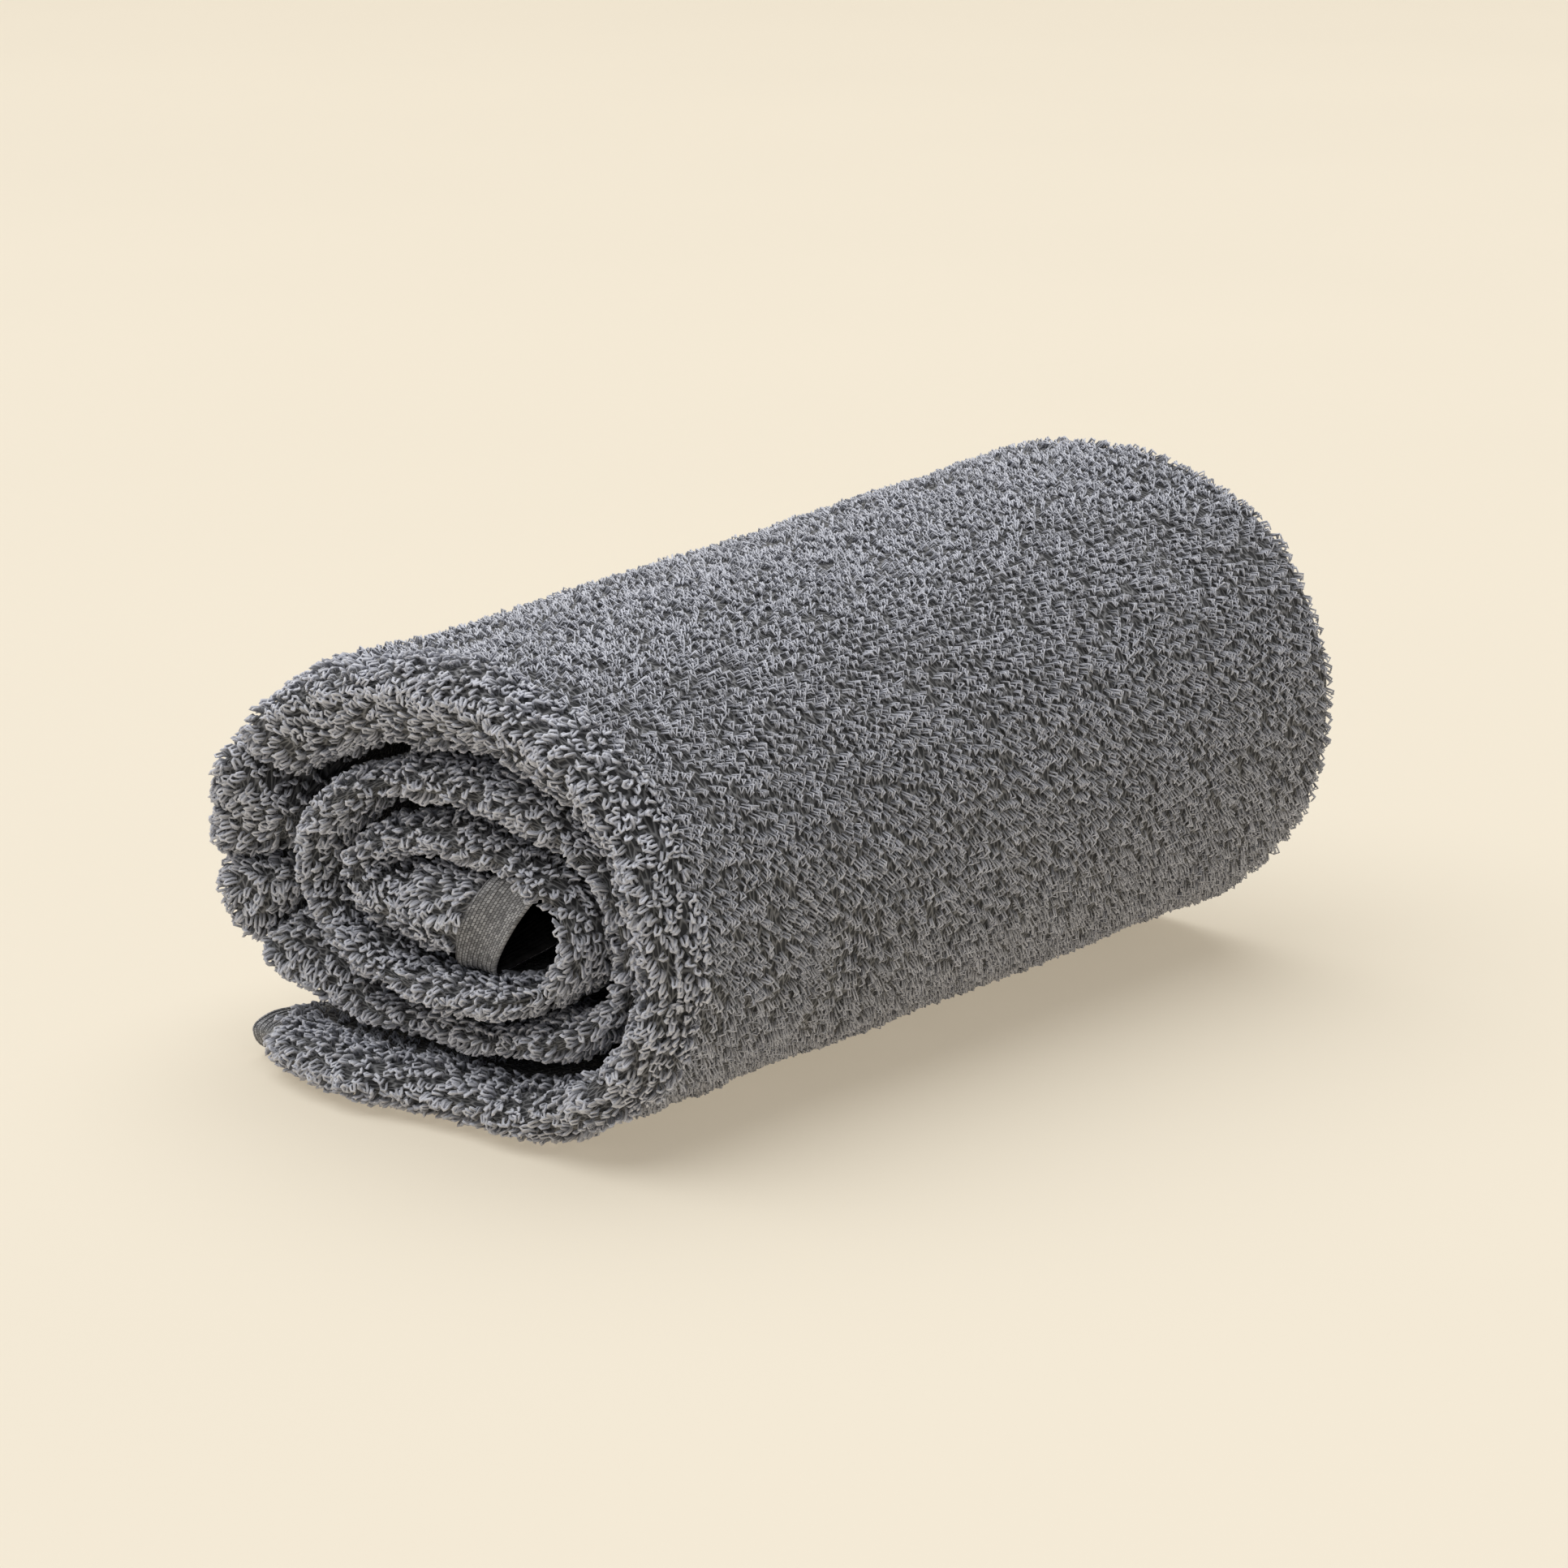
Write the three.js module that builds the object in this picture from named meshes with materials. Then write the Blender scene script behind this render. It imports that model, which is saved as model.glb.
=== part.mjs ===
// A terry hand towel, folded in half along its length and rolled up, lying on its side.
// Millimetres, +Z up. X runs along the roll, with the folded edge at -X and the two open edges at +X.
// The loose end lies on the surface and points towards +Y.
import * as THREE from "three";

// The towel as woven is 406 mm wide, and is folded in half across its width.
const TOWEL_WIDTH = 406;
const ROLL_LENGTH = TOWEL_WIDTH / 2;
// The folded edge is a soft half round, this deep.
const FOLD_DEPTH = 8;
// The swelling of the folded edge has faded out this far in.
const SWELL_REACH = 50;
// The open edges are rounded, and the two layers stand apart by a notch.
const OPEN_EDGE_ROUND = 2.4;
const NOTCH_WIDTH = 1.8;
const NOTCH_DEPTH = 8;
// The hem at each short end of the towel is flat, and thinner than the pile.
const HEM_WIDTH = 11;
const HEM_SHARE = 0.75;
// The inside of a tight bend is pressed thin: at most this share of the bend's radius.
const BEND_SHARE = 0.8;
// Length of one step along the band, and the steps across it: over the fold's half round, and along each
// face, where they lie closer together near the folded edge.
const STEP = 4.6;
const FOLD_STEPS = 3;
const FACE_STEPS = 8;
const FACE_SPREAD = 1.3;

// The way that the band winds, from the loose end inwards. Each row is a place where it runs level or
// upright, and a quarter of an oval joins it to the next. near and far are [y, z] of the band's middle at the
// two ends of the roll. full is how square the oval is that leads on from here, 2 being a true oval. half is
// the thickness of one layer with its pile, so half of the band's. edge is how far the folded edge stands out
// here, and open the same for the open edges. out and in are how much the folded edge swells on the band's
// outer and inner side.
const PLAIN = { full: 2, half: 6, edge: 0, open: 0, out: 0, in: 0 };
const level = (at, near, far, more) => ({ ...PLAIN, at, near, far, level: true, ...more });
const upright = (at, near, far, more) => ({ ...PLAIN, at, near, far, level: false, ...more });
const WINDING = [
  level("loose end", [59, 6], [62, 6], { edge: 3, open: 2 }),
  level("tail", [28, 6], [30, 6], { edge: 12, open: 2 }),
  level("floor", [-14, 6], [-1, 6], { full: 2.1, edge: 6 }),
  upright("front", [-53, 40], [-60, 58], { full: 2.1, edge: 1, open: -2 }),
  level("top", [3, 85], [-2, 102.5], { full: 2.1, edge: 2, out: 1, in: 5 }),
  upright("back", [65, 47], [58, 56], { full: 2.8, edge: 5, open: 2, in: 4 }),
  level("under", [8, 17], [4, 19], { full: 2.6, half: 4.2, open: -1 }),
  upright("front 2", [-41, 42], [-45, 52.5], { full: 2.16, half: 4.4, edge: -4, open: 2 }),
  level("top 2", [0, 66.8], [0, 83], { full: 2.2, half: 5, open: -3, out: 0.6 }),
  upright("back 2", [39, 46], [42, 56], { full: 2.3, half: 5, edge: 5, open: 1, in: 1 }),
  level("under 3", [-2, 26.6], [0, 32], { full: 2.1, half: 4.4, edge: 5, open: 1 }),
  upright("front 3", [-31, 42], [-31, 50], { full: 2.2, half: 4.4, edge: 1, open: 1 }),
  level("top 3", [3, 55.6], [0, 67], { half: 4.6, edge: -1, open: -2, out: 0.4 }),
  upright("back 3", [26.2, 47.4], [28, 57], { half: 4.6, edge: 3 }),
  level("core", [17, 41.2], [16, 48], { half: 4.6, edge: 3, out: 1, in: 1 }),
  level("core end", [-15, 41.2], [-14, 48], { half: 4.6, edge: -2, open: -4, out: 4.5, in: 4.5 }),
];

// Where the band bends tightly at the back, its inner side gathers in soft lobes with creases between them.
// at is the lobe's place in rows of the winding, wide its half width in rows, deep how far it bulges.
const LOBES = [
  { at: 4.42, wide: 0.42, deep: 2 },
  { at: 4.88, wide: 0.23, deep: 7 },
  { at: 5.22, wide: 0.24, deep: 7.5 },
  { at: 5.62, wide: 0.3, deep: 4.5 },
];

const smooth = (t) => t * t * (3 - 2 * t);
const clamp01 = (t) => Math.min(1, Math.max(0, t));
const mix = (a, b, t) => a + (b - a) * t;
const mix2 = (p, q, t) => [mix(p[0], q[0], t), mix(p[1], q[1], t)];

// The band's middle at a place, counted in rows of the winding, and a share of the way along the roll.
function middleAt(place, along) {
  const row = Math.min(Math.floor(place), WINDING.length - 2);
  const [a, b] = [WINDING[row], WINDING[row + 1]];
  const [y0, z0] = mix2(a.near, a.far, along);
  const [y1, z1] = mix2(b.near, b.far, along);
  const t = place - row;
  if (a.level && b.level) return [mix(y0, y1, t), mix(z0, z1, smooth(t))];
  const rise = Math.sin((t * Math.PI) / 2) ** (2 / a.full);
  const fall = Math.cos((t * Math.PI) / 2) ** (2 / a.full);
  return a.level ? [mix(y0, y1, rise), mix(z1, z0, fall)] : [mix(y1, y0, fall), mix(z0, z1, rise)];
}

// A named column of the table at a place in rows.
function columnAt(name, place) {
  const row = Math.min(Math.floor(place), WINDING.length - 2);
  return mix(WINDING[row][name], WINDING[row + 1][name], smooth(place - row));
}

// Places along the winding a step apart, measured halfway along the roll.
function evenPlaces() {
  const fine = 2000;
  const last = WINDING.length - 1;
  const run = [0];
  for (let i = 1; i <= fine; i++) {
    const p = middleAt(((i - 1) / fine) * last, 0.5);
    const q = middleAt((i / fine) * last, 0.5);
    run.push(run[i - 1] + Math.hypot(q[0] - p[0], q[1] - p[1]));
  }
  const steps = Math.round(run[fine] / STEP);
  const places = [0];
  for (let i = 1, j = 0; i < steps; i++) {
    while (run[j] < (i / steps) * run[fine]) j++;
    places.push((j / fine) * last);
  }
  places.push(last);
  return { places, length: run[fine] };
}

const { places: PLACES, length: BAND_LENGTH } = evenPlaces();
const LAST = PLACES.length - 1;

// Middle, outward normal and radius of the bend at step i.
function bendAt(i, along) {
  const [a, b, c] = [i - 1, i, i + 1].map((j) => middleAt(PLACES[Math.min(Math.max(j, 0), LAST)], along));
  const [dy, dz] = [c[0] - a[0], c[1] - a[1]];
  const chord = Math.hypot(dy, dz);
  const twiceArea = Math.abs((b[0] - a[0]) * (c[1] - b[1]) - (b[1] - a[1]) * (c[0] - b[0]));
  const sides = Math.hypot(b[0] - a[0], b[1] - a[1]) * Math.hypot(c[0] - b[0], c[1] - b[1]) * chord;
  const radius = twiceArea > 0.001 ? sides / (2 * twiceArea) : Infinity;
  return { middle: b, normal: [-dz / chord, dy / chord], radius };
}

// How far the lobes bulge at a place.
function lobesAt(place) {
  let bulge = 0;
  for (const { at, wide, deep } of LOBES) {
    const off = Math.abs(place - at) / wide;
    if (off < 1) bulge = Math.max(bulge, deep * Math.sqrt(1 - off * off));
  }
  return bulge;
}

// How far the band's outer and inner faces lie from its middle at step i.
function halvesAt(i, along, radius) {
  const place = PLACES[i];
  const fromNear = along * ROLL_LENGTH;
  const swell = 1 - smooth(clamp01(fromNear / SWELL_REACH));
  const toLoose = (i / LAST) * BAND_LENGTH;
  const toCore = BAND_LENGTH - toLoose;
  const pastHem = clamp01((Math.min(toLoose, toCore) - HEM_WIDTH) / HEM_WIDTH + 0.5);
  const thin = mix(HEM_SHARE, 1, smooth(pastHem));
  const half = columnAt("half", place);
  const outer = half + swell * columnAt("out", place);
  const inner = half + swell * (columnAt("in", place) + lobesAt(place));
  // On the surface the outer side is the underside, which stays flat, so all the thinning is above.
  if (place < 2) return [outer, inner - 2 * half * (1 - thin)];
  return [outer * thin, Math.min(inner * thin, radius * BEND_SHARE)];
}

// One ring around the band at step i, as [x, side] pairs: side 1 is the outer face and -1 the inner.
function ringShape(i) {
  const place = PLACES[i];
  const nearX = -ROLL_LENGTH / 2 - columnAt("edge", place);
  const farX = ROLL_LENGTH / 2 + columnAt("open", place);
  const half = columnAt("half", place);
  const notch = NOTCH_WIDTH / 2 / half;
  const roundSide = OPEN_EDGE_ROUND / half;
  const ring = [];
  for (let turn = 0; turn < FOLD_STEPS; turn++) {
    const angle = (turn / FOLD_STEPS) * (Math.PI / 2);
    ring.push([nearX + FOLD_DEPTH * (1 - Math.cos(angle)), Math.sin(angle)]);
  }
  const [start, end] = [nearX + FOLD_DEPTH, farX - OPEN_EDGE_ROUND];
  for (let s = 0; s <= FACE_STEPS; s++) ring.push([mix(start, end, (s / FACE_STEPS) ** FACE_SPREAD), 1]);
  // Each layer's open edge is a half round of a few chords, its corners cut by this share of its radius.
  const cut = 0.3;
  ring.push([farX - OPEN_EDGE_ROUND * cut, 1 - roundSide * cut]);
  ring.push([farX, 1 - roundSide]);
  ring.push([farX - OPEN_EDGE_ROUND * cut, notch + roundSide * cut]);
  ring.push([farX - OPEN_EDGE_ROUND, notch]);
  const mirrored = ring.slice(1).map(([x, side]) => [x, -side]);
  return [...ring, [farX - NOTCH_DEPTH, 0], ...mirrored.reverse()];
}

// The ring's points in space at step i.
function ringAt(i) {
  return ringShape(i).map(([x, side]) => {
    const along = clamp01(x / ROLL_LENGTH + 0.5);
    const { middle, normal, radius } = bendAt(i, along);
    const [outer, inner] = halvesAt(i, along, radius);
    const off = side > 0 ? side * outer : side * inner;
    return [x, middle[0] + normal[0] * off, middle[1] + normal[1] * off];
  });
}

// The face that closes the band at its first or last ring, as corners of triangles.
function endFaces(i, turned) {
  const outline = ringShape(i).map(([x, side]) => new THREE.Vector2(x, side * NOTCH_DEPTH));
  const corners = THREE.ShapeUtils.triangulateShape(outline, []);
  return corners.flatMap(([a, b, c]) => {
    const [p, q, r] = [a, b, c].map((k) => outline[k]);
    const left = (q.x - p.x) * (r.y - p.y) - (q.y - p.y) * (r.x - p.x) > 0;
    const triangle = left === turned ? [a, c, b] : [a, b, c];
    return triangle.map((k) => i * outline.length + k);
  });
}

function rolledTowel() {
  const rings = PLACES.map((_, i) => ringAt(i));
  const size = rings[0].length;
  const points = rings.flat(2);
  const faces = [];
  for (let i = 0; i < LAST; i++) {
    for (let j = 0; j < size; j++) {
      const [a, b] = [i * size + j, i * size + ((j + 1) % size)];
      faces.push(a, b, a + size, b, b + size, a + size);
    }
  }
  faces.push(...endFaces(0, false), ...endFaces(LAST, true));
  const shape = new THREE.BufferGeometry();
  shape.setAttribute("position", new THREE.Float32BufferAttribute(points, 3));
  shape.setIndex(faces);
  shape.computeBoundingBox();
  const { min, max } = shape.boundingBox;
  shape.translate(-(min.x + max.x) / 2, -(min.y + max.y) / 2, -min.z);
  shape.computeVertexNormals();
  return shape;
}

const cotton = new THREE.MeshStandardMaterial({ name: "terry", color: 0x88888b, roughness: 0.95 });
const towel = new THREE.Mesh(rolledTowel(), cotton);
towel.name = "towel";
const group = new THREE.Group();
group.add(towel);
export default group;
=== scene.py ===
# A grey terry hand towel, folded in half along its length and rolled up, on a pale floor.
# Shapes are worked out in millimetres in the part's frame: X along the roll, folded edge at -X, +Z up.
import math
from collections import namedtuple

import bpy
import numpy as np
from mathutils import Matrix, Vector


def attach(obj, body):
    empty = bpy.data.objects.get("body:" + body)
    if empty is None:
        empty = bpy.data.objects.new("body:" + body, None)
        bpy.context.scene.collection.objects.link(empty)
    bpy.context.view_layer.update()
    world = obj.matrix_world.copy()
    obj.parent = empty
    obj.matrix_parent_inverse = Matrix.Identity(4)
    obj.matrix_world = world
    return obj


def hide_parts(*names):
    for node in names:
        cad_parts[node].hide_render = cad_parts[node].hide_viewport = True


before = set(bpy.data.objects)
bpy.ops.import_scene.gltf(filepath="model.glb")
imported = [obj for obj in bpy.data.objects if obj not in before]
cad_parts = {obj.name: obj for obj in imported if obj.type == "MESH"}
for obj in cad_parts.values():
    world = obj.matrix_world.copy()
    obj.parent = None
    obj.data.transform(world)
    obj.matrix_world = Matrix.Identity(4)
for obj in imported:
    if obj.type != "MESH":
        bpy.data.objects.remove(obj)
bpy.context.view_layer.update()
MM = 0.001

# The towel as woven, and the roll that it makes when it is folded in half across its width.
TOWEL_WIDTH = 406.0
ROLL_LENGTH = TOWEL_WIDTH / 2
# Where the winding's own origin lies in the row frame.
ROLL_AT = (5.0, -3.0)
# How high the loops stand on the ground cloth, and how thick that cloth is.
PILE = 2.1
GROUND = 0.8
# The folded edge is a soft half round, this deep, and its swelling has faded out this far in.
FOLD_DEPTH = 8.0
SWELL_REACH = 50.0
# At the far end each layer's side edge is turned in round a lip: how far apart the two layers stand there,
# the least radius of a lip, and how far the edge is turned in.
EDGE_GAP = 1.8
LEAST_LIP = 0.3
TURNED_IN = 6.0
# The bare hem at each short end: how wide it is at the loose end and at the core, over how far the pile
# begins beside it, and over how far the layers thin out towards the loose end.
LOOSE_HEM = 7.0
CORE_HEM = 11.5
HEM_BORDER = 1.2
THINNING = 5.0
# Half the thickness of the hem's two layers, at the core and at the loose end, where they lie close.
HEM_HALF = 2.6
LOOSE_HEM_HALF = 1.2
# How far the hem's fold gapes at either end. The core's gapes for only this far in, and the hem slants there.
LOOSE_GAPE = 6.0
CORE_GAPE = 8.0
CORE_REACH = 24.0
CORE_SLANT = 0.68
# At the core the folded edge is a flatter half round, which sets in over this far, this share of it before
# the hem.
CORE_FOLD_DEPTH = 4.0
CORE_FOLD_FADE = 10.0
CORE_FOLD_LEAD = 0.6
# The hems' ribs, and the share of one by which the threads are moved, so that no gap lies along the edge.
RIB_PITCH = 1.4
RIB_HEIGHT = 0.32
RIB_SHIFT = 0.25
# The inside of a tight bend is pressed thin: at most this share of the bend's radius.
BEND_SHARE = 0.8
# What belongs to only some rows of the winding comes in and goes out over this share of a row.
ROW_FADE = 0.3

# The way that the band winds, from the loose end inwards, as rows of places where it runs level or upright.
# near and far are (y, z) of the band's middle at the two ends of the roll, full is how square the quarter
# oval is that leads on from here, and half is the thickness of one layer with its pile. edge and lip are how
# far the folded and the open edges stand out, and out and inner how much the folded edge swells on each side.
Row = namedtuple("Row", "at level near far full half edge lip out inner", defaults=(2, 6, 0, 0, 0, 0))
WINDING = [
    Row("loose end", True, (59, 6), (62, 6), edge=3, lip=2),
    Row("tail", True, (28, 6), (30, 6), edge=12, lip=2),
    Row("floor", True, (-14, 6), (-1, 6), full=2.1, edge=6),
    Row("front", False, (-53, 40), (-60, 58), full=2.1, edge=1, lip=-2),
    Row("top", True, (3, 85), (-2, 102.5), full=2.1, edge=2, out=1, inner=5),
    Row("back", False, (65, 47), (58, 56), full=2.8, edge=5, lip=2, inner=4),
    Row("under", True, (8, 17), (4, 19), full=2.6, half=4.2, lip=-1),
    Row("front 2", False, (-41, 42), (-45, 52.5), full=2.16, half=4.4, edge=-4, lip=2),
    Row("top 2", True, (0, 66.8), (0, 83), full=2.2, half=5, lip=-3, out=0.6),
    Row("back 2", False, (39, 46), (42, 56), full=2.3, half=5, edge=5, lip=1, inner=1),
    Row("under 3", True, (-2, 26.6), (0, 32), full=2.1, half=4.4, edge=5, lip=1),
    Row("front 3", False, (-31, 42), (-31, 50), full=2.2, half=4.4, edge=1, lip=1),
    Row("top 3", True, (3, 55.6), (0, 67), half=4.6, edge=-1, lip=-2, out=0.4),
    Row("back 3", False, (26.2, 47.4), (28, 57), half=4.6, edge=3),
    Row("core", True, (17, 41.2), (16, 48), half=4.6, edge=3, out=4, inner=4),
    Row("core end", True, (-15, 41.2), (-14, 48), half=4.6, edge=1, lip=-4, out=5, inner=5),
]
NUMBER = {row.at: number for number, row in enumerate(WINDING)}

# The soft lobes in which the band's inner side gathers at the back: place in rows, half width in rows, bulge.
Lobe = namedtuple("Lobe", "at wide deep")
LOBES = [
    Lobe(4.42, 0.42, 2.0),
    Lobe(4.86, 0.2, 7.0),
    Lobe(5.23, 0.2, 7.5),
    Lobe(5.62, 0.25, 5.0),
]

# Creases that run in from the folded edge: place in rows, half width in mm along the band, and depth.
Crease = namedtuple("Crease", "at wide deep")
CREASES = [
    Crease(4.66, 3.2, 4.0),
    Crease(5.05, 3.2, 4.2),
    Crease(5.42, 3.2, 4.0),
    Crease(8.35, 5.0, 2.0),
    Crease(9.45, 4.0, 1.6),
    Crease(10.5, 5.0, 2.0),
    Crease(11.3, 3.5, 1.6),
]
# A crease has faded out this far in. It thins each layer by a share of its depth, and makes the fold deeper
# on its inner side by so many times its depth.
CREASE_REACH = 22.0
OUTER_PINCH = 0.5
INNER_PINCH = 1.3
CREASE_HOLLOW = 4.0

# Soft troughs on the outside of the roll: place in rows, x, half length round it, half width along it, and
# depth.
Trough = namedtuple("Trough", "at x long wide deep")
TROUGHS = [
    Trough(2.75, -50, 22, 6, 1.6),
    Trough(3.45, 42, 12, 5, 1.4),
    Trough(3.55, 72, 13, 5, 1.5),
    Trough(3.95, 20, 34, 26, 1.5),
    Trough(4.7, -10, 24, 8, 1.4),
    Trough(5.1, 45, 20, 7, 1.5),
]
# The outer turn's folded edge has a groove beside its rim: rows from and to, mm in from the edge, width and
# depth.
RIM_GROOVE = (2.5, 4.0, 5.0, 1.7, 1.2)

# Uneven relief is a sum of waves, each with its share, its length in mm and its seed. It puffs the layers up,
# by so many mm on the body and at the folded edge, and lets the folded and the open edges wander.
Wave = namedtuple("Wave", "share length seed")
PUFF = [Wave(0.6, 24, 3), Wave(0.4, 11, 4)]
PUFF_HEIGHT = (0.6, 1.1)
FOLDED_EDGE_WANDER = [Wave(1.0, 31, 8), Wave(0.6, 13, 9)]
OPEN_EDGE_WANDER = [Wave(0.6, 40, 10)]
# A wave is made of this many sines, of lengths spread by these shares, which add up to about this height.
SINES = 7
SINE_SPREAD = (0.7, 1.6)
SINE_HEIGHT = 3.2


def smooth(t):
    t = np.clip(t, 0, 1)
    return t * t * (3 - 2 * t)


def mix(a, b, t):
    return a + (b - a) * t


def hump(t):
    """1 at 0, fading softly to nothing beyond about 2 on either side."""
    return np.exp(-t * t)


def unit(vectors):
    return vectors / np.maximum(np.linalg.norm(vectors, axis=-1, keepdims=True), 1e-6)


def waves(u, v, length, seed):
    """Soft unevenness between about -1 and 1, of about the given wavelength."""
    rng = np.random.default_rng(seed)
    total = np.zeros(np.broadcast(u, v).shape)
    for _ in range(SINES):
        heading, phase = rng.uniform(0, 2 * math.pi, 2)
        pitch = length * rng.uniform(*SINE_SPREAD)
        total += np.sin(2 * math.pi * (u * math.cos(heading) + v * math.sin(heading)) / pitch + phase)
    return total / SINE_HEIGHT


def relief(u, v, parts):
    return sum(part.share * waves(u, v, part.length, part.seed) for part in parts)


# The band's middle


def middle_at_end(places, end):
    """(y, z) of the band's middle at one end of the roll, for places counted in rows."""
    points = np.zeros((len(places), 2))
    for i, place in enumerate(places):
        row = min(int(place), len(WINDING) - 2)
        a, b = WINDING[row], WINDING[row + 1]
        (y0, z0), (y1, z1) = getattr(a, end), getattr(b, end)
        t = place - row
        rise = math.sin(t * math.pi / 2) ** (2 / a.full)
        fall = max(math.cos(t * math.pi / 2), 0) ** (2 / a.full)
        if a.level and b.level:
            points[i] = mix(y0, y1, t), mix(z0, z1, smooth(t))
        elif a.level:
            points[i] = mix(y0, y1, rise), mix(z1, z0, fall)
        else:
            points[i] = mix(y1, y0, fall), mix(z0, z1, rise)
    return points


CURVE_POINTS = 3200
PLACES = np.linspace(0, len(WINDING) - 1, CURVE_POINTS)
NEAR = middle_at_end(PLACES, "near")
FAR = middle_at_end(PLACES, "far")
RUN = np.concatenate([[0], np.cumsum(np.linalg.norm(np.diff((NEAR + FAR) / 2, axis=0), axis=1))])
BAND = RUN[-1]


def place_of(s):
    return np.interp(s, RUN, PLACES)


def run_to(place):
    return np.interp(place, PLACES, RUN)


def column(name, s):
    """A named column of the winding at s millimetres from the loose end."""
    values = np.array([getattr(row, name) for row in WINDING], float)
    place = place_of(s)
    row = np.minimum(place.astype(int), len(WINDING) - 2)
    return mix(values[row], values[row + 1], smooth(place - row))


def middle(s, along):
    """(y, z) of the band's middle, where along is 0 at the folded edge and 1 at the open ones."""
    s = np.clip(s, 0, BAND)
    ends = [np.stack([np.interp(s, RUN, curve[:, k]) for k in (0, 1)], -1) for curve in (NEAR, FAR)]
    return mix(ends[0], ends[1], along[..., None])


def bend(s, along):
    """Outward normal of the band and the radius of its bend, measured a step to either side."""
    step = 2.3
    s = np.clip(s, step, BAND - step)
    before, here, after = middle(s - step, along), middle(s, along), middle(s + step, along)
    chord = after - before
    length = np.maximum(np.linalg.norm(chord, axis=-1), 1e-6)
    normal = np.stack([-chord[..., 1], chord[..., 0]], -1) / length[..., None]
    one, two = here - before, after - here
    twice_area = np.abs(one[..., 0] * two[..., 1] - one[..., 1] * two[..., 0])
    sides = np.linalg.norm(one, axis=-1) * np.linalg.norm(two, axis=-1) * length
    return normal, sides / np.maximum(2 * twice_area, 1e-3)


# The cloth's surface


def lobes(s):
    """How far the lobes bulge out."""
    place = place_of(s)
    bulge = np.zeros_like(place)
    for lobe in LOBES:
        off = np.clip(np.abs(place - lobe.at) / lobe.wide, 0, 1)
        bulge = np.maximum(bulge, lobe.deep * np.sqrt(1 - off * off))
    return bulge


def creases(s):
    """How deep the creases are at the folded edge."""
    return sum(crease.deep * hump((s - run_to(crease.at)) / crease.wide) for crease in CREASES)


def troughs(s, x):
    """How deep the outside of the roll is dented."""
    dent = 0
    for trough in TROUGHS:
        round_it = (s - run_to(trough.at)) / trough.long
        along_it = (x + ROLL_AT[0] - trough.x) / trough.wide
        dent = dent + trough.deep * hump(round_it) * hump(along_it)
    start, end, inset, wide, deep = RIM_GROOVE
    place = place_of(s)
    there = smooth((place - start) / ROW_FADE) * smooth((end - place) / ROW_FADE)
    return dent + there * deep * hump((x - near_x(s) - inset) / wide)


def hem_share(s, reach=HEM_BORDER):
    """1 in the hem at either short end, 0 in the pile, and in between over the given reach."""
    return 1 - smooth(np.minimum(s - LOOSE_HEM, BAND - CORE_HEM - s) / reach + 0.5)


def ribs(s):
    return RIB_HEIGHT * np.cos(2 * math.pi * np.minimum(s, BAND - s) / RIB_PITCH)


def swelling(along, reach=SWELL_REACH):
    """1 at the folded edge, fading to 0 at the given reach."""
    return 1 - smooth(along * ROLL_LENGTH / reach)


def half_thickness(s, x, along, side):
    """How far the ground cloth lies from the band's middle, on the outer (1) or inner (-1) side."""
    flat = column("half", s)
    swell = swelling(along)
    place = place_of(s)
    extra = np.where(side > 0, column("out", s), column("inner", s) + lobes(s))
    puff = relief(s, x, PUFF) * mix(*PUFF_HEIGHT, swell)
    piled = flat - PILE + swell * extra + puff
    pinch = np.where(side > 0, OUTER_PINCH, INNER_PINCH)
    piled = piled - pinch * creases(s) * swelling(along, CREASE_REACH)
    outside = (side > 0) & (place < NUMBER["under"])
    piled = piled - np.where(outside, troughs(s, x), 0)

    # The loose end's outer layer lies flat on the floor, and its hem's inner layer lies on it.
    on_floor = place < NUMBER["floor"]
    gape = np.where(on_floor, LOOSE_GAPE * swell, CORE_GAPE * swelling(along, CORE_REACH))
    bare = np.where(on_floor & (side < 0), 2 * LOOSE_HEM_HALF - flat + gape, HEM_HALF + gape)
    bare = np.where(on_floor & (side > 0), flat - RIB_HEIGHT, bare)
    reach = np.where(on_floor, THINNING, HEM_BORDER)
    half = mix(piled, bare + ribs(s) * hem_share(s), hem_share(s, reach))
    lies = smooth((NUMBER["floor"] + ROW_FADE / 2 - place) / ROW_FADE) * (side > 0)
    half = mix(half, np.minimum(half, flat - PILE), lies * (1 - hem_share(s)))

    _, radius = bend(s, along)
    return np.where(side > 0, half, np.minimum(half, radius * BEND_SHARE))


def near_x(s):
    """x of the folded edge's crest."""
    wander = relief(s, 0 * s, FOLDED_EDGE_WANDER)
    return -ROLL_LENGTH / 2 - column("edge", s) + wander + creases(s)


def far_x(s):
    """x of the open edges' lips."""
    return ROLL_LENGTH / 2 + column("lip", s) + relief(s, 0 * s, OPEN_EDGE_WANDER)


def fold_depth(s, side):
    """How far in from its crest the folded edge reaches its full thickness."""
    flatter = smooth((s - BAND + CORE_HEM) / CORE_FOLD_FADE + CORE_FOLD_LEAD)
    depth = mix(FOLD_DEPTH, CORE_FOLD_DEPTH, flatter)
    return depth + np.where(side > 0, 0, CREASE_HOLLOW) * creases(s)


def share_along(x):
    return np.clip(x / ROLL_LENGTH + 0.5, 0, 1)


def spans(s, side):
    """Across one layer: the run of the fold's quarter round, the run of the face, and the lip's radius."""
    x, end = near_x(s), far_x(s)
    half = np.abs(half_thickness(s, x, share_along(x), side))
    end_half = np.abs(half_thickness(s, end, share_along(end), side))
    depth = fold_depth(s, side)
    quarter = math.pi / 2 * np.sqrt((depth**2 + half**2) / 2)
    lip = np.maximum((end_half - EDGE_GAP / 2) / 2, LEAST_LIP)
    return quarter, end - lip - x - depth, lip


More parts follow.
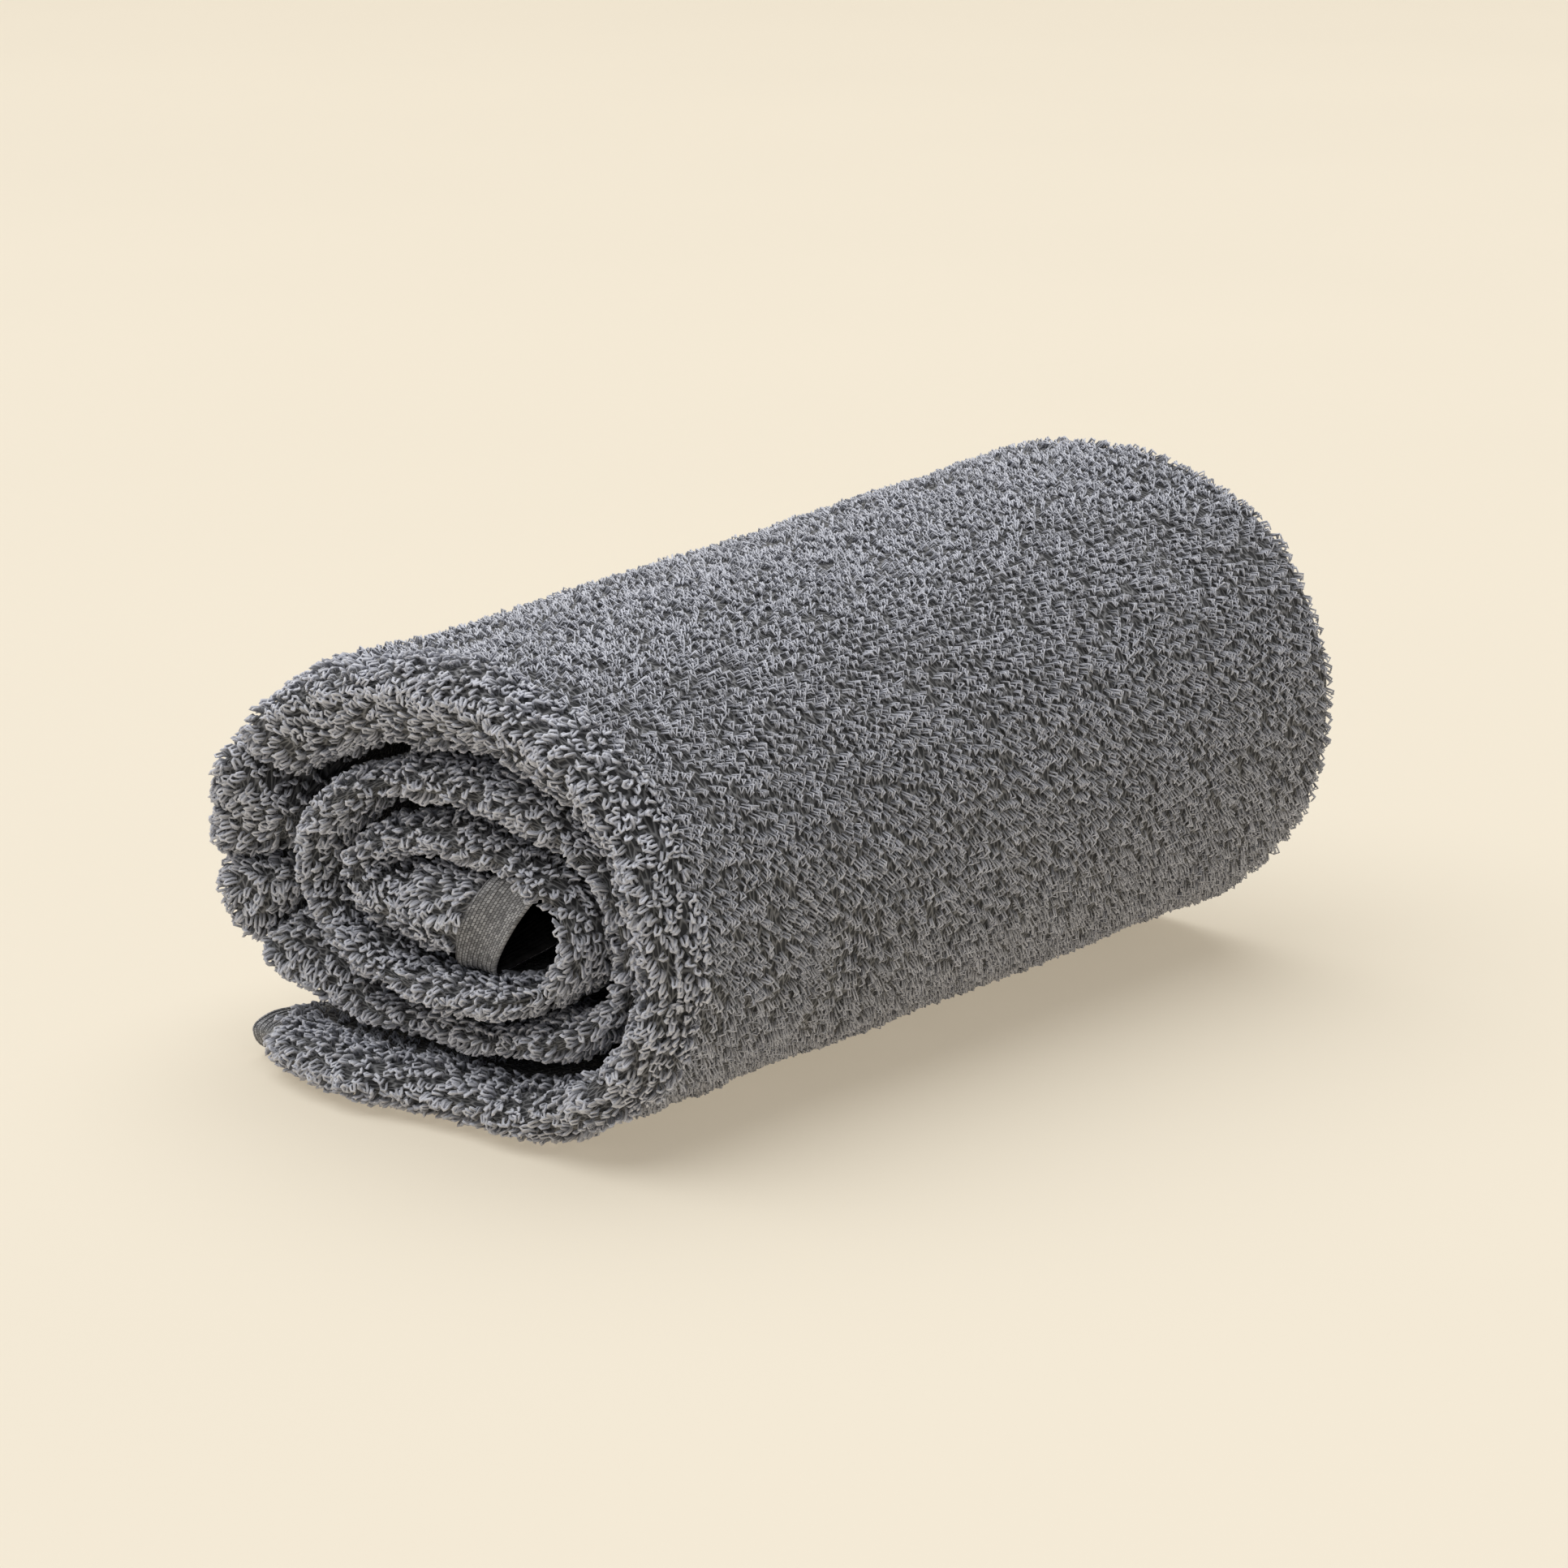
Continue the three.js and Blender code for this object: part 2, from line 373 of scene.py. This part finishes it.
def surface(s, q, side):
    """Point on the ground cloth, q millimetres from the fold's crest along the outer or inner side."""
    s, q, side = np.broadcast_arrays(np.asarray(s, float), np.asarray(q, float), np.asarray(side, float))
    quarter, face, lip = spans(s, side)
    turn = np.clip(q / quarter, 0, 1) * math.pi / 2
    past = q - quarter
    roll = np.clip((past - face) / lip, 0, math.pi)
    inward = np.maximum(past - face - math.pi * lip, 0)
    folded = near_x(s) + fold_depth(s, side) * (1 - np.cos(turn))
    x = folded + np.clip(past, 0, face) + lip * np.sin(roll) - inward
    along = share_along(x)
    normal, _ = bend(s, along)
    half = half_thickness(s, x, along, side) * np.sin(turn) - lip * (1 - np.cos(roll))
    offset = normal * (half * side)[..., None]
    y, z = np.moveaxis(middle(s, along) + offset, -1, 0)
    slant = CORE_SLANT * smooth(place_of(s) - NUMBER["core"]) * swelling(along, CORE_REACH)
    y = y - slant * offset[..., 1]
    return np.stack([x + ROLL_AT[0], y + ROLL_AT[1], z], -1)


def surface_frame(s, q, side):
    """Point, outward normal, direction towards the folded edge, and how much the cloth is stretched."""
    step = 0.4
    ds = (surface(s + step, q, side) - surface(s - step, q, side)) / (2 * step)
    low = np.maximum(q - step, 0)
    dq = (surface(s, q + step, side) - surface(s, low, side)) / (q + step - low)[..., None]
    normal = np.cross(dq, ds) * np.asarray(side)[..., None]
    stretch = np.linalg.norm(normal, axis=-1)
    return surface(s, q, side), unit(normal), -unit(dq), stretch


# Meshes


def new_object(name, points, faces, material):
    """A smooth mesh object from points in millimetres and an array of triangles or quads."""
    corners = faces.shape[1]
    mesh = bpy.data.meshes.new(name)
    mesh.vertices.add(len(points))
    mesh.vertices.foreach_set("co", (points * MM).astype(np.float32).ravel())
    mesh.loops.add(faces.size)
    mesh.loops.foreach_set("vertex_index", faces.astype(np.int32).ravel())
    mesh.polygons.add(len(faces))
    mesh.polygons.foreach_set("loop_start", np.arange(0, faces.size, corners, dtype=np.int32))
    mesh.polygons.foreach_set("loop_total", np.full(len(faces), corners, dtype=np.int32))
    mesh.polygons.foreach_set("use_smooth", np.full(len(faces), True))
    mesh.update(calc_edges=True)
    mesh.validate()
    mesh.materials.append(material)
    piece = bpy.data.objects.new(name, mesh)
    bpy.context.collection.objects.link(piece)
    return piece


def store(piece, name, values):
    """Keeps a number for each point on the mesh, for its material."""
    attribute = piece.data.attributes.new(name, "FLOAT", "POINT")
    attribute.data.foreach_set("value", np.ravel(values).astype(np.float32))


# Points on each rib of a hem, how far past the hem they go on so closely, and points along the rest.
RIB_POINTS = 5
PAST_HEM = 1.0
BAND_POINTS = 200
# Points across each layer, on the quarter round of the fold, on the face and on the lip.
FOLD_POINTS = 8
FACE_POINTS = 22
LIP_POINTS = 5
# The outside of the cloth, and of the yarn, stays at least this far above the floor.
CLOTH_CLEARANCE = GROUND / 4
YARN_CLEARANCE = 0.05


def ground_cloth(material, inside):
    """The towel's ground cloth: one sheet, folded in half and rolled up."""
    loose_steps = np.arange(0, LOOSE_HEM + PAST_HEM, RIB_PITCH / RIB_POINTS)
    core_steps = BAND - np.arange(0, CORE_HEM + PAST_HEM, RIB_PITCH / RIB_POINTS)[::-1]
    pile_steps = np.linspace(LOOSE_HEM + PAST_HEM, BAND - CORE_HEM - PAST_HEM, BAND_POINTS)
    s = np.concatenate([loose_steps, pile_steps[1:-1], core_steps])[:, None]
    fold = np.linspace(0, 1, FOLD_POINTS)
    face = np.linspace(0, 1, FACE_POINTS)[1:]
    roll = np.linspace(0, math.pi, LIP_POINTS)[1:]
    points, hems, wefts = [], [], []
    for side in (1.0, -1.0):
        quarter, flat, lip = spans(s, np.full_like(s, side))
        edge = quarter + flat
        steps = [quarter * fold, quarter + flat * face, edge + lip * roll, edge + lip * math.pi + TURNED_IN]
        q = np.concatenate(steps, axis=1)
        points.append(surface(s, q, side))
        hems.append(np.maximum(hem_share(s), smooth(q - edge)))
        wefts.append(q * side)
    grid, hem, weft = (np.concatenate([a[:, ::-1], b[:, 1:]], axis=1) for a, b in (points, hems, wefts))
    grid[..., 2] = np.maximum(grid[..., 2], CLOTH_CLEARANCE)
    long, wide = hem.shape
    index = np.arange(long * wide).reshape(long, wide)
    corners = [index[:-1, :-1], index[1:, :-1], index[1:, 1:], index[:-1, 1:]]
    faces = np.stack([c.ravel() for c in corners], -1)
    piece = new_object("towel_cloth", grid.reshape(-1, 3), faces, material)
    # The inner faces that the thickness adds get this second material, painted nearly black as shade.
    piece.data.materials.append(inside)
    store(piece, "hem", hem)
    store(piece, "weft", weft)
    store(piece, "rib", np.broadcast_to(np.minimum(s, BAND - s) / RIB_PITCH + RIB_SHIFT, hem.shape))
    thick = piece.modifiers.new("thickness", "SOLIDIFY")
    thick.thickness = GROUND * MM
    thick.offset = -1
    thick.material_offset = 1
    return piece


# The pile

# The cloth is nowhere stretched much more than this where it goes round a bend.
MOST_STRETCH = 1.5
# Loops stand only where less than this share of the cloth is hem.
MOST_HEM = 0.1
# A loop's feet go down into the ground cloth by this share of its height, and stand this share of its width
# apart. It rises by this power of a sine, so that its tip is blunt, and curls by up to this share of half its
# width.
ROOTED = 0.12
FEET_APART = 0.6
BLUNTNESS = 0.8
CURL = 0.5
# The yarn is a tube with this many sides, and its radius varies by these shares from loop to loop.
YARN_SIDES = 3
YARN_SPREAD = (0.85, 1.15)
# The loops' heading sways in waves of these shares, and of these lengths in mm.
SWAY = [(0.65, 24), (0.35, 9)]
# How much of a point's colour is painted shade by its height on the loop, lighter at the tip. The rest is by
# chance, from loop to loop.
TIP_PAINTED_SHADE = 0.6

# How loops stand: height and width in mm, how far they bow over in degrees, where they head (0 is towards the
# folded edge, a quarter turn is along the band), how far they stray from there in long waves and one by one,
# how far they are twisted round, how much they droop, the yarn's radius, and the rings of points on a loop.
Style = namedtuple("Style", "tall wide bow heading sway stray twist droop yarn rings")
STANDING = Style((2.3, 3.1), (1.1, 1.8), (70, 135), 0.3, 1.2, 0.5, 0.35, 0.35, 0.35, 7)
MATTED = Style((2.6, 3.9), (0.8, 1.5), (140, 180), math.pi / 2, 0.4, 0.35, 0.25, 0.1, 0.23, 5)

# A patch of pile between two places in rows, from low to high mm in from the folded edge or the open one. All
# along is more than the whole way from one to the other.
Patch = namedtuple("Patch", "name start end low high spacing side style from_far", defaults=(False,))
FIRST = NUMBER["loose end"]
LAST = NUMBER["core end"]
ALL_ALONG = 240
PATCHES = [
    Patch("pile_front", 2.2, 3.25, 12, ALL_ALONG, 1.58, 1, MATTED),
    Patch("pile_top", 3.25, 4.1, 12, ALL_ALONG, 1.58, 1, MATTED),
    Patch("pile_back", 4.1, 5.5, 12, ALL_ALONG, 2.05, 1, MATTED),
    Patch("pile_under", FIRST, 2.2, 12, ALL_ALONG, 3.1, 1, MATTED),
    Patch("pile_tail", FIRST, 1.7, 12, ALL_ALONG, 2.1, -1, MATTED),
    Patch("pile_fold_outer", FIRST, LAST, 0, 13, 1.75, 1, STANDING),
    Patch("pile_fold_inner", FIRST, LAST, 0, 13, 1.75, -1, STANDING),
    Patch("pile_hollow", 3.7, 6.3, 12, 26, 2.1, -1, STANDING),
    Patch("pile_inner_turn", 6.5, 11, 11, 18, 2.1, 1, STANDING),
    Patch("pile_core_hollow", 10.3, 13, 12, 42, 2.0, -1, STANDING),
    Patch("pile_far_outer", 5.5, LAST, 0, 8, 2.1, 1, STANDING, True),
    Patch("pile_far_inner", FIRST, LAST, 0, 8, 2.1, -1, STANDING, True),
]
# Each patch has seeds of its own: one for its loops' places and waves, and one this much higher for their
# shapes.
FIRST_SEED = 20
SEED_STEP = 10
SHAPE_SEED = 100


def scatter(patch, seed):
    """Places for loops, jittered, and as many to each square millimetre of the cloth however it is bent."""
    rng = np.random.default_rng(seed)
    step = patch.spacing / math.sqrt(MOST_STRETCH)
    s = np.arange(run_to(patch.start), run_to(patch.end), step)
    q = np.arange(patch.low, patch.high, step)
    s, q = np.meshgrid(s, q, indexing="ij")
    s = (s + rng.uniform(-0.5, 0.5, s.shape) * step).ravel()
    q = (q + rng.uniform(-0.5, 0.5, q.shape) * step).ravel()
    lot = rng.uniform(0, 1, s.size)
    side = np.full_like(s, patch.side)
    quarter, face, lip = spans(s, side)
    edge = quarter + face
    q = edge + lip - q if patch.from_far else np.abs(q)
    inside = (hem_share(s) < MOST_HEM) & (q < edge + lip)
    s, q, side, lot = s[inside], q[inside], side[inside], lot[inside]
    stretch = surface_frame(s, q, side)[-1]
    kept = lot < stretch / MOST_STRETCH
    return s[kept], q[kept], side[kept]


def terry_loops(patch, material, seed):
    """Loops of yarn standing on a patch of the cloth, each a bent tube, joined in one mesh."""
    s, q, side = scatter(patch, seed)
    style = patch.style
    count = len(s)
    rng = np.random.default_rng(seed + SHAPE_SEED)

    def between(limits):
        return rng.uniform(limits[0], limits[1], (count, 1))

    root, up, out, _ = surface_frame(s, q, side)
    sway = relief(s, q, [Wave(*wave, seed + 1 + k) for k, wave in enumerate(SWAY)])
    heading = (style.heading + style.sway * sway + rng.normal(0, style.stray, count))[:, None]
    down = np.array([0, 0, -1.0]) + up * up[:, 2:]
    ahead = unit(out * np.cos(heading) + np.cross(up, out) * np.sin(heading) + down * style.droop)
    aside = np.cross(up, ahead)
    tall, wide, bow = between(style.tall), between(style.wide), np.radians(between(style.bow))
    twist, curl = rng.normal(0, style.twist, (count, 1)), between((-CURL, CURL))

    # Along each loop, t runs from foot to foot, and the loop's plane bows over from its root to its tip.
    t = np.linspace(0, 1, style.rings)[None, :]
    arc = math.pi * (t * (1 + 2 * ROOTED) - ROOTED)
    climb = np.sin(np.clip(arc, 0, math.pi))
    high = climb**BLUNTNESS
    high[:, [0, -1]] = -ROOTED
    across = wide / 2 * np.cos(arc) * mix(FEET_APART, 1.0, climb)
    beside = wide / 2 * curl * np.sin(2 * math.pi * t)
    lean = (bow * high)[..., None]
    up, ahead, aside = up[:, None], ahead[:, None], aside[:, None]
    axis = (tall / bow)[..., None] * (up * np.sin(lean) + ahead * (1 - np.cos(lean)))
    through = ahead * np.cos(lean) - up * np.sin(lean)
    turned, rest = np.cos(twist)[..., None], np.sin(twist)[..., None]
    span = aside * turned + through * rest
    third = through * turned - aside * rest
    centre = root[:, None] + axis + span * across[..., None] + third * beside[..., None]

    # The yarn's tube: a ring of points round each point of the loop.
    tangent = unit(np.gradient(centre, axis=1))
    inward = unit(np.cross(tangent, third))
    flat = np.cross(inward, tangent)
    angle = 2 * math.pi * np.arange(YARN_SIDES)[:, None] / YARN_SIDES
    ring = flat[:, :, None] * np.cos(angle) + inward[:, :, None] * np.sin(angle)
    radius = style.yarn * between(YARN_SPREAD)[..., None, None]
    points = centre[:, :, None] + ring * radius
    points[..., 2] = np.maximum(points[..., 2], YARN_CLEARANCE)
    first = np.arange(count)[:, None, None] * (style.rings * YARN_SIDES)
    k = np.arange(style.rings - 1)[:, None] * YARN_SIDES
    a = np.arange(YARN_SIDES)
    b = (a + 1) % YARN_SIDES
    quads = np.stack([k + a, k + b, k + YARN_SIDES + b, k + YARN_SIDES + a], -1)
    faces = (first[..., None] + quads).reshape(-1, 4)
    piece = new_object(patch.name, points.reshape(-1, 3), faces, material)
    # Painted shade: points are lighter the higher they stand on their loop and darker at its feet, mixed with
    # a tone by chance.
    painted_shade_and_tone = mix(between((0, 1)), np.clip(high, 0, 1), TIP_PAINTED_SHADE)
    store(piece, "painted_shade_and_tone", np.repeat(painted_shade_and_tone, YARN_SIDES, axis=1))
    return piece


# Materials


def principled(name, roughness, sheen, specular):
    material = bpy.data.materials.new(name)
    material.use_nodes = True
    nodes, links = material.node_tree.nodes, material.node_tree.links
    shader = nodes["Principled BSDF"]
    shader.inputs["Roughness"].default_value = roughness
    shader.inputs["Sheen Weight"].default_value = sheen
    shader.inputs["Sheen Roughness"].default_value = 0.5
    shader.inputs["Specular IOR Level"].default_value = specular
    return material, nodes, links, shader


def attribute(nodes, name):
    node = nodes.new("ShaderNodeAttribute")
    node.attribute_name = name
    return node.outputs["Fac"]


def noise(nodes, links, scale, detail):
    where = nodes.new("ShaderNodeTexCoord")
    node = nodes.new("ShaderNodeTexNoise")
    node.inputs["Scale"].default_value = scale
    node.inputs["Detail"].default_value = detail
    links.new(where.outputs["Object"], node.inputs["Vector"])
    return node.outputs["Fac"]


def net(nodes, links, along, across, long, wide):
    """Meshes of lying loops, seen between the upper ones: 0 on their strands, more inside each of them."""
    where = nodes.new("ShaderNodeCombineXYZ")
    for size, value, axis in ((long, along, "X"), (wide, across, "Y")):
        scaled = nodes.new("ShaderNodeMath")
        scaled.operation = "DIVIDE"
        scaled.inputs[1].default_value = size
        links.new(value, scaled.inputs[0])
        links.new(scaled.outputs["Value"], where.inputs[axis])
    node = nodes.new("ShaderNodeTexVoronoi")
    node.voronoi_dimensions = "2D"
    node.feature = "DISTANCE_TO_EDGE"
    node.inputs["Scale"].default_value = 1
    links.new(where.outputs["Vector"], node.inputs["Vector"])
    return node.outputs["Distance"]


def ramp(nodes, links, value, low, high, dark, light):
    """A colour that goes from dark, where value is low, to light, where it is high."""
    node = nodes.new("ShaderNodeValToRGB")
    first, last = node.color_ramp.elements
    first.position, last.position = low, high
    first.color, last.color = (*dark, 1), (*light, 1)
    links.new(value, node.inputs["Fac"])
    return node.outputs["Color"]


def mixed(nodes, links, share, a, b, kind):
    """Blend of two outputs by a share: kind is FLOAT or RGBA."""
    node = nodes.new("ShaderNodeMix")
    node.data_type = kind
    socket_type = {"FLOAT": "VALUE", "RGBA": "RGBA"}[kind]
    first, second = [socket for socket in node.inputs if socket.name in "AB" and socket.type == socket_type]
    links.new(share, node.inputs["Factor"])
    links.new(a, first)
    links.new(b, second)
    return next(socket for socket in node.outputs if socket.type == socket_type)


def bumped(nodes, links, shader, height, strength, distance):
    node = nodes.new("ShaderNodeBump")
    node.inputs["Strength"].default_value = strength
    node.inputs["Distance"].default_value = distance * MM
    links.new(height, node.inputs["Height"])
    links.new(node.outputs["Normal"], shader.inputs["Normal"])


def yarn_material():
    """Grey cotton yarn: painted lighter at the loops' tips and darker at their feet, as shade, a little
    different from loop to loop, with fibres.
    """
    material, nodes, links, shader = principled("terry_yarn", 0.8, 0.3, 0.3)
    fibre = noise(nodes, links, 2600, 3)
    painted_shade_and_tone = nodes.new("ShaderNodeMath")
    painted_shade_and_tone.operation = "MULTIPLY_ADD"
    painted_shade_and_tone.inputs[1].default_value = 0.45
    links.new(fibre, painted_shade_and_tone.inputs[0])
    links.new(attribute(nodes, "painted_shade_and_tone"), painted_shade_and_tone.inputs[2])
    # The ramp runs from the painted shade at the loops' feet to the painted light at their tips.
    dark, light = (0.118, 0.122, 0.138), (0.715, 0.734, 0.822)
    colour = ramp(nodes, links, painted_shade_and_tone.outputs["Value"], 0.2, 1.1, dark, light)
    links.new(colour, shader.inputs["Base Color"])
    bumped(nodes, links, shader, fibre, 0.5, 0.12)
    return material


def cloth_material():
    """The ground cloth: painted dark between the loops, as the shade under the pile, and plainly woven in
    threads where the hems are bare.
    """
    material, nodes, links, shader = principled("terry_ground", 0.9, 0.15, 0.2)
    weft, rib = attribute(nodes, "weft"), attribute(nodes, "rib")
    meshes = net(nodes, links, rib, weft, 2.0, 1.1)
    # Painted shade: the lying loops' strands stay grey and the meshes between them are painted nearly black.
    painted_shade_ground = ramp(nodes, links, meshes, 0.04, 0.22, (0.3, 0.302, 0.316), (0.055, 0.056, 0.06))
    grain = ramp(nodes, links, meshes, 0.0, 0.25, (1, 1, 1), (0, 0, 0))
    across = nodes.new("ShaderNodeCombineXYZ")
    links.new(weft, across.inputs["X"])
    links.new(rib, across.inputs["Y"])
    threads = nodes.new("ShaderNodeTexBrick")
    threads.inputs["Scale"].default_value = 1
    threads.inputs["Brick Width"].default_value = 0.75
    threads.inputs["Row Height"].default_value = 0.5
    threads.inputs["Mortar Size"].default_value = 0.09
    threads.inputs["Mortar Smooth"].default_value = 1.0
    threads.inputs["Color1"].default_value = (0.46, 0.463, 0.488, 1)
    threads.inputs["Color2"].default_value = (0.18, 0.182, 0.193, 1)
    threads.inputs["Mortar"].default_value = (0.035, 0.0355, 0.038, 1)
    links.new(across.outputs["Vector"], threads.inputs["Vector"])
    hem = attribute(nodes, "hem")
    colour = mixed(nodes, links, hem, painted_shade_ground, threads.outputs["Color"], "RGBA")
    links.new(colour, shader.inputs["Base Color"])
    height = mixed(nodes, links, hem, grain, threads.outputs["Color"], "FLOAT")
    bumped(nodes, links, shader, height, 0.8, 0.5)
    return material


def painted_shade_inside_material():
    """The inside of the fold, painted nearly black as shade, where pile lies against pile and little light
    comes.
    """
    material, nodes, links, shader = principled("terry_inside_painted_shade", 0.95, 0.0, 0.1)
    grain = noise(nodes, links, 420, 4)
    # Painted shade: the grey pile is painted nearly black here.
    colour = ramp(nodes, links, grain, 0.3, 0.7, (0.012, 0.012, 0.013), (0.045, 0.045, 0.048))
    links.new(colour, shader.inputs["Base Color"])
    bumped(nodes, links, shader, grain, 0.8, 0.8)
    return material


def floor_material():
    """Pale cream, a little uneven, and glowing a little."""
    material, nodes, links, shader = principled("floor", 0.95, 0.0, 0.1)
    grain = noise(nodes, links, 3, 2)
    colour = ramp(nodes, links, grain, 0.2, 0.8, (0.484, 0.46, 0.404), (0.498, 0.473, 0.415))
    links.new(colour, shader.inputs["Base Color"])
    shader.inputs["Emission Color"].default_value = (0.92, 0.79, 0.6, 1)
    shader.inputs["Emission Strength"].default_value = 0.4
    return material


# Setting

CAMERA_AT = (-654.5, -596.9, 291.6)
CAMERA_HEADING = 42.29
CAMERA_PITCH = -15.35
LENS = 100.0


def add_floor():
    """A floor that glows, so that its shadows stay light, and that sweeps up behind the roll to a wall."""
    wide, near, sweep, radius, top = 16000.0, -16000.0, 3600.0, 900.0, 3500.0
    steps = 12
    heading = math.radians(CAMERA_HEADING)
    profile = [(near, 0.0), (sweep, 0.0)]
    for k in range(1, steps + 1):
        turn = k / steps * math.pi / 2
        profile.append((sweep + radius * math.sin(turn), radius * (1 - math.cos(turn))))
    profile.append((sweep + radius, top))
    points, faces = [], []
    for depth, z in profile:
        for half in (-wide, wide):
            x = depth * math.cos(heading) + half * math.sin(heading)
            y = depth * math.sin(heading) - half * math.cos(heading)
            points.append((x, y, z))
    for k in range(len(profile) - 1):
        faces.append((2 * k, 2 * k + 1, 2 * k + 3, 2 * k + 2))
    floor = new_object("floor", np.array(points), np.array(faces), floor_material())


def add_camera():
    data = bpy.data.cameras.new("camera")
    data.lens = LENS
    data.sensor_width = 36.0
    data.clip_start = 0.05
    camera = bpy.data.objects.new("camera", data)
    bpy.context.collection.objects.link(camera)
    heading, pitch = math.radians(CAMERA_HEADING), math.radians(CAMERA_PITCH)
    level = math.cos(pitch)
    ahead = Vector((math.cos(heading) * level, math.sin(heading) * level, math.sin(pitch)))
    camera.location = Vector(CAMERA_AT) * MM
    camera.rotation_euler = ahead.to_track_quat("-Z", "Y").to_euler()
    bpy.context.scene.camera = camera


def add_lights():
    """A dim world, and one broad soft light from above and a little behind, even over the whole floor."""
    world = bpy.data.worlds.new("studio")
    bpy.context.scene.world = world
    world.use_nodes = True
    world.node_tree.nodes["Background"].inputs["Color"].default_value = (0.99, 0.995, 1.0, 1)
    world.node_tree.nodes["Background"].inputs["Strength"].default_value = 0.2
    data = bpy.data.lights.new("key", "SUN")
    data.energy = 2.85
    data.color = (1.0, 0.99, 0.965)
    data.angle = math.radians(90)
    key = bpy.data.objects.new("key", data)
    bpy.context.collection.objects.link(key)
    key.rotation_euler = Vector((-0.02, 0.28, 1.0)).to_track_quat("Z", "Y").to_euler()
    bpy.context.scene.view_settings.view_transform = "Standard"


def main():
    yarn = yarn_material()
    towel = ground_cloth(cloth_material(), painted_shade_inside_material())
    seeds = range(FIRST_SEED, FIRST_SEED + SEED_STEP * len(PATCHES), SEED_STEP)
    pieces = [terry_loops(patch, yarn, seed) for patch, seed in zip(PATCHES, seeds)]
    for piece in [towel, *pieces]:
        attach(piece, "root")
    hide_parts("towel")
    add_camera()
    add_lights()
    add_floor()


main()
